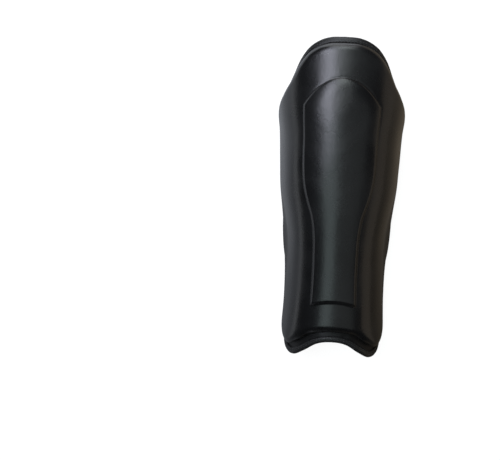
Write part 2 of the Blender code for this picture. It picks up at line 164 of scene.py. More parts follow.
@dataclass(frozen=True)
class GuardForm:
    """The guard's shape, shared by all its pieces. Tables hold shares of the named sizes."""

    length: float = 0.360
    calf_half_width: float = 0.069
    depth: float = 0.085
    wrap_angle: float = math.radians(112)
    squareness: float = 0.02
    flare_start: float = 0.70
    flare_power: float = 2.2
    rim_width: float = 0.0062
    lip_middle: float = 0.0128
    lip_lobe: float = 0.012
    corner_wrap: float = 0.14
    corner_length: float = 0.022
    panel_crown_top: float = 0.117
    panel_corner_top: float = 0.204
    panel_crown_bottom: float = 0.814
    panel_corner_bottom: float = 0.830
    panel_arch_power: float = 1.95
    panel_across: float = 0.30
    panel_down_top: float = 0.18
    panel_down_bottom: float = 0.86
    wing_row_top: float = 0.14
    wing_row_bottom: float = 0.90
    rim_step: float = 0.06
    normal_step: float = 1e-4
    slope_step: float = 1e-3
    seam_stations: int = 90
    panel_stations: int = 60
    # along, belly half width and side edge half width by calf_half_width, ridge by depth
    sections: tuple = (
        (0.00, 1.020, 0.950, 0.950),
        (0.12, 1.005, 0.950, 0.980),
        (0.22, 0.985, 0.945, 1.000),
        (0.31, 0.918, 0.925, 1.000),
        (0.40, 0.895, 0.905, 0.995),
        (0.48, 0.862, 0.900, 0.980),
        (0.56, 0.780, 0.895, 0.955),
        (0.62, 0.731, 0.890, 0.935),
        (0.68, 0.714, 0.868, 0.912),
        (0.76, 0.717, 0.806, 0.885),
        (0.84, 0.735, 0.770, 0.868),
        (0.91, 0.768, 0.765, 0.865),
        (1.00, 0.825, 0.770, 0.880),
    )
    # wrap, along: the backing panel's edge at the knee end
    knee_rows: tuple = (
        (0.00, 0.000),
        (0.12, 0.004),
        (0.20, 0.016),
        (0.28, 0.038),
        (0.36, 0.075),
        (0.43, 0.118),
        (0.52, 0.161),
        (0.62, 0.198),
        (0.77, 0.250),
        (1.00, 0.325),
    )
    # wrap, along: its edge at the ankle end
    ankle_rows: tuple = (
        (0.00, 0.947),
        (0.06, 0.948),
        (0.16, 0.956),
        (0.30, 0.982),
        (0.44, 1.000),
        (0.56, 0.991),
        (0.67, 0.970),
        (0.80, 0.937),
        (1.00, 0.874),
    )
    # along, wrap: the raised panel's sides
    panel_side: tuple = (
        (0.204, 0.267),
        (0.296, 0.271),
        (0.366, 0.275),
        (0.436, 0.269),
        (0.504, 0.240),
        (0.559, 0.208),
        (0.606, 0.196),
        (0.676, 0.194),
        (0.830, 0.198),
    )

    def sine(self, angle: Array) -> Array:
        """The sine, swollen a little towards a square: sin a + k sin 3a, scaled to reach 1."""
        return (np.sin(angle) + self.squareness * np.sin(3 * angle)) / (1 - self.squareness)

    def surface(self, wrap: Array, along: Array) -> Array:
        """A point at the seam's level, over side edges at height 0. Wrap below 0 is the other side.

        Each section is an ellipse, belly sin a across and ridge (cos a - cos A) / (1 - cos A) high for the
        angle a = wrap A. Near the side edge a power of the wrap leads it out to the edge's half width.

        Args:
            wrap: The share round the shin, below 0 on the other side.
            along: The share down the guard.

        Returns:
            (..., 3) points.
        """
        side, wrap = np.sign(wrap), np.abs(wrap)
        angle = wrap * self.wrap_angle
        belly = self.calf_half_width * curve_through(self.sections, along, 1)
        edge = self.calf_half_width * curve_through(self.sections, along, 2)
        ridge = self.depth * curve_through(self.sections, along, 3)
        share = np.clip((wrap - self.flare_start) / (1 - self.flare_start), 0, None) ** self.flare_power
        x = belly * self.sine(angle) + (edge - belly * self.sine(np.array(self.wrap_angle))) * share
        z = ridge * (np.cos(angle) - math.cos(self.wrap_angle)) / (1 - math.cos(self.wrap_angle))
        return np.stack([side * x, self.length * (0.5 - along), z], axis=-1)

    def normal(self, wrap: Array, along: Array) -> Array:
        """The seam surface's unit normal, away from the leg: the cross product of its two small steps.

        Args:
            wrap: The share round the shin, below 0 on the other side.
            along: The share down the guard.

        Returns:
            (..., 3) unit vectors.
        """
        step = self.normal_step
        round_leg = self.surface(wrap + step, along) - self.surface(wrap - step, along)
        down_leg = self.surface(wrap, along + step) - self.surface(wrap, along - step)
        return unit(np.cross(down_leg, round_leg))

    def wing_length(self, along: Array) -> Array:
        """The length of a section from the ridge to the side edge, by the mean of its half axes.

        Args:
            along: The share down the guard.

        Returns:
            The lengths in metres.
        """
        belly = self.calf_half_width * curve_through(self.sections, along, 1)
        rise = self.depth * curve_through(self.sections, along, 3) / (1 - math.cos(self.wrap_angle))
        return self.wrap_angle * (belly + rise) / 2

    def flat(self, wrap: Array, along: Array) -> Array:
        """The place in the cut pattern, laid flat: metres from the ridge and metres from the knee end."""
        return np.stack([wrap * self.wing_length(along), along * self.length], axis=-1)

    def corner(self, wrap: Array, end: Array) -> Array:
        """How far a rounded corner draws an edge in, a quarter ellipse, as a share of the length."""
        share = np.clip((wrap - end + self.corner_wrap) / self.corner_wrap, 0, 1)
        return (1 - np.sqrt(1 - share**2)) * self.corner_length / self.length

    def inset(self, edge: tuple, wrap: Array, width: Array) -> Array:
        """The share of the length that moves an edge in by a width measured square to the edge.

        Args:
            edge: The edge's table.
            wrap: Where to read it.
            width: The width in metres.

        Returns:
            The shares.
        """
        step = self.slope_step
        slope = (curve_through(edge, wrap + step) - curve_through(edge, wrap - step)) / (2 * step)
        steepness = slope * self.length / self.wing_length(curve_through(edge, wrap))
        return width * np.sqrt(1 + steepness**2) / self.length

    def pad_end(self, along: Array) -> Array:
        """The wrap at which the pad ends and the rim begins, beside the leg."""
        return 1 - self.rim_width / self.wing_length(along)

    def knee_edge(self, wrap: Array) -> Array:
        """The backing panel's edge at the knee, as a share along."""
        return curve_through(self.knee_rows, wrap) + self.corner(wrap, np.array(1.0))

    def ankle_edge(self, wrap: Array) -> Array:
        """The backing panel's edge at the ankle, as a share along."""
        return curve_through(self.ankle_rows, wrap) - self.corner(wrap, np.array(1.0))

    def pad_knee_edge(self, wrap: Array) -> Array:
        """The pad's seam at the knee, a rim's width inside the panel's edge."""
        base = curve_through(self.knee_rows, wrap)
        return base + self.inset(self.knee_rows, wrap, self.rim_width) + self.corner(wrap, self.pad_end(base))

    def pad_ankle_edge(self, wrap: Array) -> Array:
        """The pad's seam at the ankle. The lip below it is widest at the instep and narrowest at the side.

        Args:
            wrap: The share round the shin, below 0 on the other side.

        Returns:
            Its share along.
        """
        base = curve_through(self.ankle_rows, wrap)
        lobe = max(self.ankle_rows, key=lambda row: row[1])[0]
        lip = self.lip_middle + (self.lip_lobe - self.lip_middle) * ease(wrap / lobe)
        lip = lip + (self.rim_width - self.lip_lobe) * ease((wrap - lobe) / (1 - lobe))
        return base - self.inset(self.ankle_rows, wrap, lip) - self.corner(wrap, self.pad_end(base))

    def panel_row(
        self, wrap: Array, crown: float, corner_along: float, corner_wrap: float, share: float
    ) -> Array:
        """A grid row through two of the panel's corners: a power curve between them, then on to the wing.

        Args:
            wrap: Where to read the row.
            crown: Its share along on the ridge.
            corner_along: Its share along at the corner.
            corner_wrap: The corner's wrap.
            share: Where it reaches the side edge, as a share of that edge's length.

        Returns:
            The row's share along at each wrap.
        """
        arch = np.clip(wrap / corner_wrap, 0, 1) ** self.panel_arch_power
        on_panel = crown + (corner_along - crown) * arch
        top, bottom = self.pad_knee_edge(np.array(1.0)), self.pad_ankle_edge(np.array(1.0))
        at_wing = top + (bottom - top) * share
        return on_panel + (at_wing - corner_along) * ease((wrap - corner_wrap) / (1 - corner_wrap))

    def place(self, across: Array, down: Array) -> tuple[Array, Array]:
        """Turns grid coordinates into a place on the guard.

        Args:
            across: 0 on the ridge, panel_across on the panel's side, 1 at the pad's seam, beyond it the rim.
            down: 0 at the pad's seam at the knee, 1 at the ankle, beyond them the rim.

        Returns:
            The wrap, below 0 on the other side, and the share along.
        """
        side, across = np.sign(across), np.abs(across)
        on_panel = (down - self.panel_down_top) / (self.panel_down_bottom - self.panel_down_top)
        tall = self.panel_corner_bottom - self.panel_corner_top
        beside = self.panel_corner_top + np.clip(on_panel, 0, 1) * tall
        edge = curve_through(self.panel_side, beside)
        end = self.pad_end(beside)
        wrap = edge * np.minimum(across / self.panel_across, 1)
        wrap = wrap + (end - edge) * np.clip((across - self.panel_across) / (1 - self.panel_across), 0, 1)
        wrap = wrap + (1 - end) * np.clip((across - 1) / self.rim_step, 0, 1)
        upper, lower = self.panel_side[0][1], self.panel_side[-1][1]
        top = (self.panel_crown_top, self.panel_corner_top, upper, self.wing_row_top)
        bottom = (self.panel_crown_bottom, self.panel_corner_bottom, lower, self.wing_row_bottom)
        rows = (
            (-self.rim_step, self.knee_edge(wrap)),
            (0.0, self.pad_knee_edge(wrap)),
            (self.panel_down_top, self.panel_row(wrap, *top)),
            (self.panel_down_bottom, self.panel_row(wrap, *bottom)),
            (1.0, self.pad_ankle_edge(wrap)),
            (1 + self.rim_step, self.ankle_edge(wrap)),
        )
        along = rows[0][1]
        for (start, above), (stop, below) in zip(rows[:-1], rows[1:], strict=True):
            along = along + (below - above) * np.clip((down - start) / (stop - start), 0, 1)
        return side * wrap, along

    def seam_distance(self, wrap: Array, along: Array) -> Array:
        """How far a place lies from the pad's seam, in metres on the flat pattern.

        Args:
            wrap: The share round the shin, below 0 on the other side.
            along: The share down the guard.

        Returns:
            The distances.
        """
        steps = np.linspace(0, 1, self.seam_stations)
        sides = (
            (steps, np.zeros_like(steps)),
            (np.ones_like(steps), steps),
            (steps[::-1], np.ones_like(steps)),
        )
        seam = np.concatenate([self.flat(*self.place(a, d)) for a, d in sides])
        return nearest(self.flat(np.abs(wrap), along), seam)

    def panel_distance(self, across: Array, down: Array) -> Array:
        """How far a place lies inside the raised panel's outline, below 0 outside it, in metres.

        Args:
            across: The grid's coordinate across, as place takes it.
            down: And down.

        Returns:
            The distances.
        """
        steps = np.linspace(0, 1, self.panel_stations)
        rows = self.panel_down_top + (self.panel_down_bottom - self.panel_down_top) * steps
        sides = (
            (self.panel_across * (2 * steps - 1), np.full_like(steps, self.panel_down_top)),
            (np.full_like(steps, self.panel_across), rows),
            (self.panel_across * (1 - 2 * steps), np.full_like(steps, self.panel_down_bottom)),
        )
        outline = np.concatenate([self.flat(*self.place(a, d)) for a, d in sides])
        wrap, along = self.place(np.abs(across), down)
        inside = (down > self.panel_down_top) & (down < self.panel_down_bottom)
        inside &= np.abs(across) < self.panel_across
        return nearest(self.flat(wrap, along), outline) * np.where(inside, 1, -1)


def stations(*stretches: tuple[float, float, int]) -> Array:
    """Grid stations along one axis, from stretches of (start, stop, steps), each evenly spaced."""
    parts = [np.linspace(start, stop, steps, endpoint=False) for start, stop, steps in stretches]
    return np.concatenate([*parts, [stretches[-1][1]]])


@dataclass
class MeshMaker:
    """Gathers grids of points and faces, and makes one mesh object of them."""

    name: str

    def __post_init__(self) -> None:
        """Starts with nothing gathered."""
        self.points: list[Array] = []
        self.faces: list[Array] = []
        self.slots: list[Array] = []
        self.uvs: list[Array] = []
        self.count = 0

    def quads(self, index: Array, slot: int) -> None:
        """Adds the quads between neighbouring entries of a grid of vertex numbers."""
        corners = (index[:-1, :-1], index[:-1, 1:], index[1:, 1:], index[1:, :-1])
        self.loose_quads(np.stack(corners, axis=-1).reshape(-1, 4), slot)

    def loose_quads(self, faces: Array, slot: int) -> None:
        """Adds quads that are given by their vertex numbers, as (n, 4)."""
        self.faces.append(faces)
        self.slots.append(np.full(len(faces), slot))

    def grid(self, points: Array, uv: Array, slot: int = 0) -> Array:
        """Adds a grid of points with its quads.

        Args:
            points: (rows, columns, 3) points, whose rows cross columns to face outwards.
            uv: (rows, columns, 2) pattern coordinates in metres.
            slot: The material's place in the object's list.

        Returns:
            The grid of vertex numbers.
        """
        index = self.add(points.reshape(-1, 3), uv.reshape(-1, 2)).reshape(points.shape[:2])
        self.quads(index, slot)
        return index

    def add(self, points: Array, uv: Array) -> Array:
        """Adds loose vertices and returns their numbers.

        Args:
            points: (n, 3) points.
            uv: (n, 2) pattern coordinates in metres.

        Returns:
            Their numbers.
        """
        numbers = np.arange(self.count, self.count + len(points))
        self.points.append(points)
        self.uvs.append(uv)
        self.count += len(points)
        return numbers

    def build(self, materials: Sequence[Material]) -> Piece:
        """Makes the object, smooth shaded, with its pattern coordinates as a UV map.

        Args:
            materials: The finishes, in slot order.

        Returns:
            The object, linked to the scene, at the origin.
        """
        faces = np.concatenate(self.faces)
        mesh = bpy.data.meshes.new(self.name)
        mesh.vertices.add(self.count)
        mesh.vertices.foreach_set("co", np.concatenate(self.points).astype(np.float32).ravel())
        mesh.loops.add(faces.size)
        mesh.loops.foreach_set("vertex_index", faces.astype(np.int32).ravel())
        mesh.polygons.add(len(faces))
        mesh.polygons.foreach_set("loop_start", np.arange(0, faces.size, 4, dtype=np.int32))
        mesh.polygons.foreach_set("material_index", np.concatenate(self.slots).astype(np.int32))
        mesh.polygons.foreach_set("use_smooth", np.ones(len(faces), bool))
        layer = mesh.uv_layers.new(name="pattern")
        layer.data.foreach_set("uv", np.concatenate(self.uvs)[faces.ravel()].astype(np.float32).ravel())
        mesh.update(calc_edges=True)
        mesh.validate()
        for material in materials:
            mesh.materials.append(material)
        made = bpy.data.objects.new(self.name, mesh)
        bpy.context.scene.collection.objects.link(made)
        return made


def rim_of(index: Array) -> Array:
    """The vertex numbers once round a grid's border, from its first corner along its first row."""
    return np.concatenate([index[0, :-1], index[:-1, -1], index[-1, :0:-1], index[:0:-1, 0]])


def close_between(maker: MeshMaker, outer: Array, inner: Array, slot: int) -> None:
    """Joins two grids' borders with a wall of quads, so that the two faces make one closed shell.

    Args:
        maker: Gathers the faces.
        outer: The outer grid's vertex numbers.
        inner: The inner grid's, in the same order.
        slot: The material's place in the object's list.
    """
    a, b = rim_of(outer), rim_of(inner)
    band = np.stack([np.append(a, a[0]), np.append(b, b[0])])
    maker.quads(band[::-1], slot)


class Nodes:
    """Builds a material's node tree with short calls."""

    def __init__(self, name: str) -> None:
        """Starts a material with one shader.

        Args:
            name: The material's name.
        """
        self.material = bpy.data.materials.new(name)
        self.material.use_nodes = True
        self.tree = self.material.node_tree
        self.shader = self.tree.nodes["Principled BSDF"]
        self.coordinates = self.tree.nodes.new("ShaderNodeTexCoord")

    def feed(self, target: Socket, source: Source) -> None:
        """Links a socket to another one, or sets it to a number or to a colour, which is made opaque.

        Args:
            target: The socket that is fed.
            source: What goes into it.
        """
        if isinstance(source, Socket):
            self.tree.links.new(source, target)
        elif isinstance(source, tuple):
            target.default_value = (*source, 1)
        else:
            target.default_value = source

    def node(self, kind: str, inputs: dict[str | int, Source], **settings: str) -> bpy.types.Node:
        """Adds a node.

        Args:
            kind: Its type's name, less "ShaderNode".
            inputs: What goes into its sockets, by their names or numbers.
            settings: Its own settings.

        Returns:
            The node.
        """
        made = self.tree.nodes.new("ShaderNode" + kind)
        for name, setting in settings.items():
            setattr(made, name, setting)
        for name, source in inputs.items():
            self.feed(made.inputs[name], source)
        return made

    def noise(self, scale: float, detail: float) -> Socket:
        """A noise pattern of that scale on the object's coordinates."""
        inputs = {"Scale": scale, "Detail": detail, "Vector": self.coordinates.outputs["Object"]}
        return self.node("TexNoise", inputs).outputs["Fac"]

    def cells(self, scale: float) -> Socket:
        """The distance from the middle of each cell of a cell pattern."""
        inputs = {"Scale": scale, "Vector": self.coordinates.outputs["Object"]}
        return self.node("TexVoronoi", inputs, feature="F1").outputs["Distance"]

    def wave(self, scale: float, direction: str, space: str = "UV") -> Socket:
        """Parallel bands along one axis of the coordinates."""
        inputs = {"Scale": scale, "Distortion": 0.0, "Vector": self.coordinates.outputs[space]}
        return self.node("TexWave", inputs, bands_direction=direction).outputs["Fac"]

    def maths(self, operation: str, a: Socket | float, b: Socket | float) -> Socket:
        """One arithmetic step between two sockets or numbers."""
        return self.node("Math", {0: a, 1: b}, operation=operation).outputs[0]

    def spread(self, value: Socket, low: float, high: float, start: float = 0.0, stop: float = 1.0) -> Socket:
        """Carries start..stop of a socket to low..high."""
        inputs = {"From Min": start, "From Max": stop, "To Min": low, "To Max": high, "Value": value}
        return self.node("MapRange", inputs).outputs["Result"]

    def blend(self, share: Socket, low: Socket | Colour, high: Socket | Colour) -> Socket:
        """A colour between two, by a socket."""
        return self.node("Mix", {"A": low, "B": high, "Factor": share}, data_type="RGBA").outputs["Result"]

    def ramp(self, value: Socket, stops: Sequence[tuple[float, Colour]]) -> Socket:
        """A colour that passes through (position, colour) stops along a socket.

        Args:
            value: Where on the ramp.
            stops: The stops, in order.

        Returns:
            The colour.
        """
        node = self.node("ValToRGB", {"Fac": value})
        elements = node.color_ramp.elements
        for element, (position, colour) in zip(elements[:2], (stops[0], stops[-1]), strict=True):
            element.position, element.color = position, (*colour, 1)
        for position, colour in stops[1:-1]:
            elements.new(position).color = (*colour, 1)
        return node.outputs["Color"]

    def bump(self, height: Socket, strength: float, distance: float, under: Socket | None = None) -> Socket:
        """A bump of that depth in metres, on top of another one if given.

        Args:
            height: The pattern, 0 to 1.
            strength: How much of it counts.
            distance: Its depth.
            under: The normal that it is laid on.

        Returns:
            The normal.
        """
        inputs = {"Strength": strength, "Distance": distance, "Height": height}
        if under is not None:
            inputs["Normal"] = under
        return self.node("Bump", inputs).outputs["Normal"]

    def finish(self, colour: Socket, roughness: Socket, normal: Socket) -> Material:
        """Links the three to the shader and returns the material.

        Args:
            colour: The base colour.
            roughness: The roughness.
            normal: The normal.

        Returns:
            The material.
        """
        self.feed(self.shader.inputs["Base Color"], colour)
        self.feed(self.shader.inputs["Roughness"], roughness)
        self.feed(self.shader.inputs["Normal"], normal)
        return self.material


@dataclass(frozen=True)
class Leather:
    """Smooth coated leather: a fine pebbled grain, slight waviness, and rougher and smoother patches."""

    name: str
    colour: Colour = (0.0060, 0.0060, 0.0064)
    worn: Colour = (0.0095, 0.0095, 0.0100)
    roughness: float = 0.27
    specular: float = 0.5
    grain: float = 1500.0
    grain_depth: float = 0.00004
    grain_strength: float = 0.30
    pebble_height: float = 0.7
    pores: float = 1.7
    pore_height: float = 0.5
    detail: float = 3.0
    patches: float = 28.0
    # the stretches of the patches' pattern over which the colour and the roughness change, and by how much
    worn_range: tuple = (0.35, 0.75)
    rough_range: tuple = (0.3, 0.7)
    rougher: tuple = (-0.03, 0.04)
    wave_detail: float = 2.0
    # scale, strength and depth of the two waves, the long one first
    waves: tuple = ((60.0, 0.22, 0.0008), (320.0, 0.25, 0.00024))

    def material(self) -> Material:
        """Builds the material.

        Returns:
            The material.
        """
        nodes = Nodes(self.name)
        nodes.shader.inputs["Specular IOR Level"].default_value = self.specular
        pebbles = nodes.maths("MULTIPLY", nodes.cells(self.grain), self.pebble_height)
        pores = nodes.noise(self.grain * self.pores, self.detail)
        height = nodes.maths("ADD", pebbles, nodes.maths("MULTIPLY", pores, self.pore_height))
        patches = nodes.noise(self.patches, self.detail)
        colour = nodes.blend(nodes.spread(patches, 0.0, 1.0, *self.worn_range), self.colour, self.worn)
        low, high = (self.roughness + change for change in self.rougher)
        roughness = nodes.spread(patches, low, high, *self.rough_range)
        wavy = None
        for scale, strength, depth in self.waves:
            wavy = nodes.bump(nodes.noise(scale, self.wave_detail), strength, depth, wavy)
        grainy = nodes.bump(height, self.grain_strength, self.grain_depth, wavy)
        return nodes.finish(colour, roughness, grainy)


@dataclass(frozen=True)
class Weave:
    """A woven or knitted textile, whose threads run along its pattern coordinates."""

    name: str
    colour: Colour
    painted_highlight: Colour
    roughness: float
    pitch: float
    depth: float
    sheen: float = 0.15
    weft_height: float = 0.85
    relief: float = 0.6
    # the fuzz's scale and detail, the stretch of it that counts, and what it does to the shade and roughness
    fuzz: tuple = (900.0, 4.0)
    fuzz_range: tuple = (0.3, 0.7)
    fuzz_shade: tuple = (0.4, 1.0)
    rougher: float = 0.06

    def material(self) -> Material:
        """Builds the material: two crossed sets of bands, each seen where it is the higher.

        Returns:
            The material.
        """
        nodes = Nodes(self.name)
        nodes.shader.inputs["Sheen Weight"].default_value = self.sheen
        scale = 1.0 / self.pitch / math.tau * 2
        weft = nodes.maths("MULTIPLY", nodes.wave(scale, "Y"), self.weft_height)
        height = nodes.maths("MAXIMUM", nodes.wave(scale, "X"), weft)
        fuzz = nodes.noise(*self.fuzz)
        # the higher thread is painted lighter and the dips between threads stay darker: painted highlight and
        # shade, varied at random by the fuzz
        shade = nodes.maths("MULTIPLY", height, nodes.spread(fuzz, *self.fuzz_shade, *self.fuzz_range))
        colour = nodes.blend(shade, self.colour, self.painted_highlight)
        low, high = self.roughness - self.rougher, self.roughness + self.rougher
        roughness = nodes.spread(fuzz, low, high, *self.fuzz_range)
        return nodes.finish(colour, roughness, nodes.bump(height, self.relief, self.depth))


@dataclass(frozen=True)
class Thread:
    """Sewing thread: twisted, a little lighter than the leather."""

    name: str = "black_thread"
    colour: Colour = (0.020, 0.020, 0.021)
    painted_highlight: Colour = (0.045, 0.045, 0.047)
    roughness: float = 0.55
    rougher: tuple = (-0.05, 0.08)
    twist: float = 2200.0
    twist_depth: float = 0.0001
    twist_strength: float = 0.5
    fuzz: tuple = (3000.0, 2.0)

    def material(self) -> Material:
        """Builds the material.

        Returns:
            The material.
        """
        nodes = Nodes(self.name)
        twist = nodes.wave(self.twist, "DIAGONAL", "Object")
        fuzz = nodes.noise(*self.fuzz)
        # the twist's ridges are painted lighter as a painted highlight, varied at random by the fuzz
        colour = nodes.blend(nodes.maths("MULTIPLY", twist, fuzz), self.colour, self.painted_highlight)
        roughness = nodes.spread(fuzz, *(self.roughness + change for change in self.rougher))
        return nodes.finish(colour, roughness, nodes.bump(twist, self.twist_strength, self.twist_depth))


class Finish(Enum):
    """The guard's finishes."""

    PAD_LEATHER = Leather("pad_leather")
    # the backing's leather is darker than the pad's as painted shade under the pad's overhanging edge; the
    # rim and the lip carry it alike
    LIP_LEATHER = Leather(
        "lip_leather_painted_shade",
        colour=(0.0045, 0.0045, 0.0048),
        worn=(0.0075, 0.0075, 0.0079),
        roughness=0.46,
        specular=0.27,
        grain=1300.0,
    )
    LINING = Weave(
        "lining_cloth",
        colour=(0.010, 0.010, 0.011),
        painted_highlight=(0.030, 0.030, 0.032),
        roughness=0.85,
        pitch=0.0011,
        depth=0.00018,
    )
    TAPE = Leather(
        "binding_leather",
        colour=(0.0080, 0.0080, 0.0084),
        worn=(0.0130, 0.0130, 0.0134),
        roughness=0.42,
        specular=0.38,
        grain=1700.0,
    )
    ELASTIC = Weave(
        "elastic_web",
        colour=(0.009, 0.009, 0.010),
        painted_highlight=(0.034, 0.034, 0.036),
        roughness=0.80,
        pitch=0.0012,
        depth=0.00030,
    )
    LOOP_PILE = Weave(
        "loop_pile",
        colour=(0.006, 0.006, 0.006),
        painted_highlight=(0.024, 0.024, 0.025),
        roughness=0.95,
        pitch=0.0009,
        depth=0.00045,
        sheen=0.4,
    )
    THREAD = Thread()

    def made(self) -> Material:
        """The material, made once."""
        return bpy.data.materials.get(self.value.name) or self.value.material()


def dress(piece: Piece, node: str = "") -> Piece:
    """Puts a piece on the frame's one body and hides the CAD node that it stands for.

    Args:
        piece: The piece, in place.
        node: The CAD node that it replaces, or nothing.

    Returns:
        The piece.
    """
    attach(piece, "root")
    if node:
        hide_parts(node)
    log.info("%s: %d faces", piece.name, len(piece.data.polygons))
    return piece


@dataclass
class FrontPad:
    """The moulded foam under its leather, with the raised shin panel."""

    form: GuardForm
    foot: float
    front_out: float = 0.012
    side_out: float = 0.004
    front_in: float = 0.006
    side_in: float = 0.005
    thin_start: float = 0.25
    thin_end: float = 0.80
    rim_thickness: float = 0.0018
    rim_rounding: float = 0.011
    knee_rounding: float = 0.006
    ankle_rounding: float = 0.010
    rim_swelling: float = 0.022
    relief: float = 0.0030
    bevel: float = 0.0036
    bevel_power: float = 2.2
    bevel_margin: float = 1.3
    crown_share: float = 0.38
    crown_width: float = 0.013
    step_width: float = 0.0062
    groove_depth: float = 0.00012
    groove_width: float = 0.0012
    # where the arch's finish ends and the soft step begins, each by its place down and its length
    arch_end: tuple = (0.42, 0.2)
    step_start: tuple = (0.80, 0.04)
    step_corner: float = 0.25
    rounding_start: tuple = (0.2, 0.7)
    unevenness: float = 0.00016
    uneven_waves: tuple = (0.045, 0.06)
    uneven_seed: int = 11
    bulge: float = 0.0040
    bulge_reach: float = 0.0022
    bulge_start: float = 0.2
    bulge_down: float = 0.16
    rim_columns: int = 12
    panel_columns: tuple = (16, 22, 24)
    panel_rows: tuple = (14, 22, 96, 22, 12)

    def thinning(self, wrap: Array) -> Array:
        """0 on the shin and 1 on the wings."""
        return ease((np.abs(wrap) - self.thin_start) / (self.thin_end - self.thin_start))

    def swelling(self, wrap: Array, distance: Array) -> Array:
        """How far the pad swells towards the leg, eased in from its seam."""
        full = self.front_in + (self.side_in - self.front_in) * self.thinning(wrap)
        return full * ease(distance / self.rim_swelling)

    def relief_at(self, inside: Array, across: Array, down: Array) -> Array:
        """The raised panel's height by the distance inside its outline.

        A bevel rises by 1 - (1 - t)^p over its width, steep first and then rounded into the level top. Below
        the arch at the knee a share of the rise is spread over a wider band, and a shallow groove lies
        outside it. At the ankle the step is a soft S across the outline, except near its corners.

        Args:
            inside: The distance inside the outline, below 0 outside it.
            across: The grid's coordinate across, as place takes it.
            down: And down.

        Returns:
            The heights in metres.
        """
        arch = ease((self.arch_end[0] - down) / self.arch_end[1])
        groove = np.exp(-(((inside + self.groove_width / 2) / self.groove_width) ** 2)) * arch
        width = self.bevel * (1 - self.crown_share * arch)
        rise = 1 - (1 - np.clip(inside / width, 0, 1)) ** self.bevel_power
        crown = 1 - (1 - np.clip(inside / self.crown_width, 0, 1)) ** 2
        rise = rise + (crown - rise) * self.crown_share * arch
        step = ease(inside / self.step_width + 0.5)
        to_side = 1 - np.abs(across) / self.form.panel_across
        at_ankle = ease((down - self.step_start[0]) / self.step_start[1])
        rise = rise + (step - rise) * at_ankle * ease(to_side / self.step_corner)
        return self.relief * rise - self.groove_depth * groove

    def outer_height(self, wrap: Array, along: Array, across: Array, down: Array, distance: Array) -> Array:
        """The outer face's height over the seam's level: upright at the seam, then round to the full padding.

        The rounding is the root of 1 - (1 - t)^3 for the share t of its width, which is widest at the ankle.

        Args:
            wrap: The share round the shin, below 0 on the other side.
            along: The share down the guard.
            across: The grid's coordinate across, as place takes it.
            down: And down.
            distance: How far it lies from the pad's seam.

        Returns:
            The heights in metres.
        """
        full = self.front_out + (self.side_out - self.front_out) * self.thinning(wrap)
        to_ankle = ease((down - self.rounding_start[0]) / self.rounding_start[1])
        width = self.knee_rounding + (self.ankle_rounding - self.knee_rounding) * to_ankle
        rounded = np.sqrt(np.clip(1 - (1 - np.clip(distance / width, 0, 1)) ** 3, 0, 1))
        relief = self.relief_at(self.form.panel_distance(across, down), across, down)
        place = self.form.flat(wrap, along) / self.uneven_waves
        uneven = self.unevenness * ripple(place[..., 0], place[..., 1], self.uneven_seed) * rounded
        return self.rim_thickness + full * rounded + relief + uneven

    def overhang(self, wrap: Array, along: Array, down: Array, distance: Array) -> Array:
        """How the stuffed edge leans out over its seam at both ends: most a millimetre in, none on it.

        Args:
            wrap: The share round the shin, below 0 on the other side.
            along: The share down the guard.
            down: The grid's coordinate down.
            distance: How far it lies from the pad's seam.

        Returns:
            (..., 3) offsets.
        """
        step = self.form.slope_step
        to_knee = unit(self.form.surface(wrap, along - step) - self.form.surface(wrap, along))
        start = 1 - np.exp(-distance / (self.bulge_reach * self.bulge_start))
        near = np.exp(-distance / self.bulge_reach) * start
        ends = ease(1 - down / self.bulge_down) - ease(1 - (1 - down) / self.bulge_down)
        return to_knee * (self.bulge * near * ends)[..., None]

    def grid(self) -> tuple[Array, Array]:
        """Grid stations, closest together at the seam and at the panel's outline.

        Returns:
            The stations across and down.
        """
        form = self.form
        wing = float(form.wing_length(np.array(0.5)))
        near = self.rim_rounding * (1 - np.cos(np.linspace(0, math.pi / 2, self.rim_columns)))
        bevel = self.bevel_margin * (self.bevel + self.groove_width)
        side, rim = bevel / wing, self.rim_rounding / wing
        ends = (0.0, form.panel_across - side, form.panel_across + side, 1 - rim)
        half = stations(*zip(ends[:-1], ends[1:], self.panel_columns, strict=True))
        half = np.concatenate([half, 1 - near[::-1][1:] / wing])
        across = np.concatenate([-half[:0:-1], half])
        end, rim = bevel / form.length, self.rim_rounding / form.length
        top, bottom = form.panel_down_top, form.panel_down_bottom
        ends = (rim, top - end, top + end, bottom - end, bottom + end, 1 - rim)
        down = stations(*zip(ends[:-1], ends[1:], self.panel_rows, strict=True))
        down = np.concatenate([near[:-1] / form.length, down, 1 - near[::-1][1:] / form.length])
        return across, down[::-1]

    def build(self) -> Piece:
        """Builds the closed pad: its outer face, its inner face and the narrow seam between them.

        Returns:
            The piece.
        """
        across, down = np.meshgrid(*self.grid())
        wrap, along = self.form.place(across, down)
        distance = self.form.seam_distance(wrap, along)
        base, normal = self.form.surface(wrap, along), self.form.normal(wrap, along)
        base[..., 2] += self.foot
        outer = base + normal * self.outer_height(wrap, along, across, down, distance)[..., None]
        outer += self.overhang(wrap, along, down, distance)
        inner = base - normal * self.swelling(wrap, distance)[..., None]
        uv = self.form.flat(wrap, along)
        maker = MeshMaker("front_pad_leather")
        front = maker.grid(outer, uv)
        back = maker.grid(inner[:, ::-1], uv[:, ::-1])
        close_between(maker, front, back[:, ::-1], 0)
        piece = maker.build([Finish.PAD_LEATHER.made()])
        return dress(piece, "front_pad")


